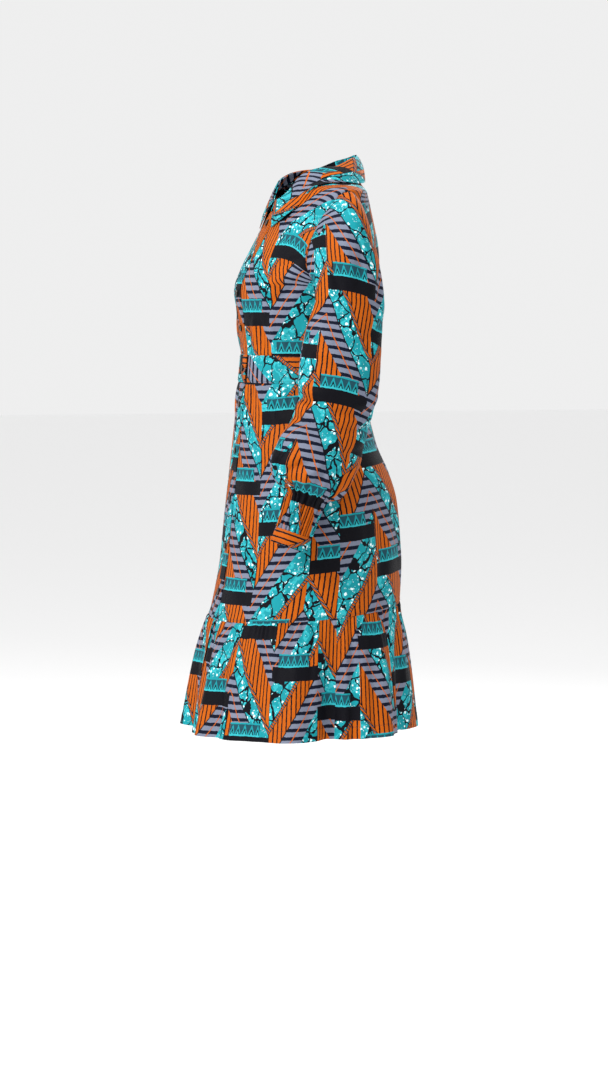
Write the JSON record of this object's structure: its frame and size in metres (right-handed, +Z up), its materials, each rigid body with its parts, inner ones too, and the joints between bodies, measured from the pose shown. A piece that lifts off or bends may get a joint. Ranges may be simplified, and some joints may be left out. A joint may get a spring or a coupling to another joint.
{
  "type": "ankara wax print shirt dress",
  "caption": "Long-sleeved knee-length shirt dress in wax-printed cotton, worn and hollow, with a collar, button front, waistband, bishop sleeves and gathered flounce.",
  "frame": {"origin": "midway between the shoulders, level with the base of the neck at the back, where the wearer's shoulders hold the dress", "axes": "+Z up, the dress's front towards -Y, the wearer's left towards +X"},
  "size_m": [0.5747, 0.4093, 0.9974],
  "materials": {
    "wax_print": "crisp printed cotton with a faint waxy sheen",
    "buttons": "polished dark brown"
  },
  "bodies": {
    "root": {"bodice_front_left": "wax_print", "bodice_front_right": "wax_print", "bodice_back": "wax_print", "button_band_bodice": "wax_print", "buttonhole_band_bodice": "wax_print", "waistband_front_left": "wax_print", "waistband_front_right": "wax_print", "waistband_back": "wax_print", "skirt_front_left": "wax_print", "skirt_front_right": "wax_print", "skirt_back": "wax_print", "button_band_skirt": "wax_print", "buttonhole_band_skirt": "wax_print", "flounce_front_left": "wax_print", "flounce_front_right": "wax_print", "flounce_back": "wax_print", "sleeve_left": "wax_print", "sleeve_right": "wax_print", "cuff_left": "wax_print", "cuff_right": "wax_print", "collar_stand": "wax_print", "collar_leaf": "wax_print", "button_bodice_1": "buttons", "button_bodice_2": "buttons", "button_bodice_3": "buttons", "button_bodice_4": "buttons", "button_waist_1": "buttons", "button_skirt_1": "buttons", "button_skirt_2": "buttons", "button_skirt_3": "buttons", "button_skirt_4": "buttons", "button_skirt_5": "buttons"}
  },
  "joints": []
}
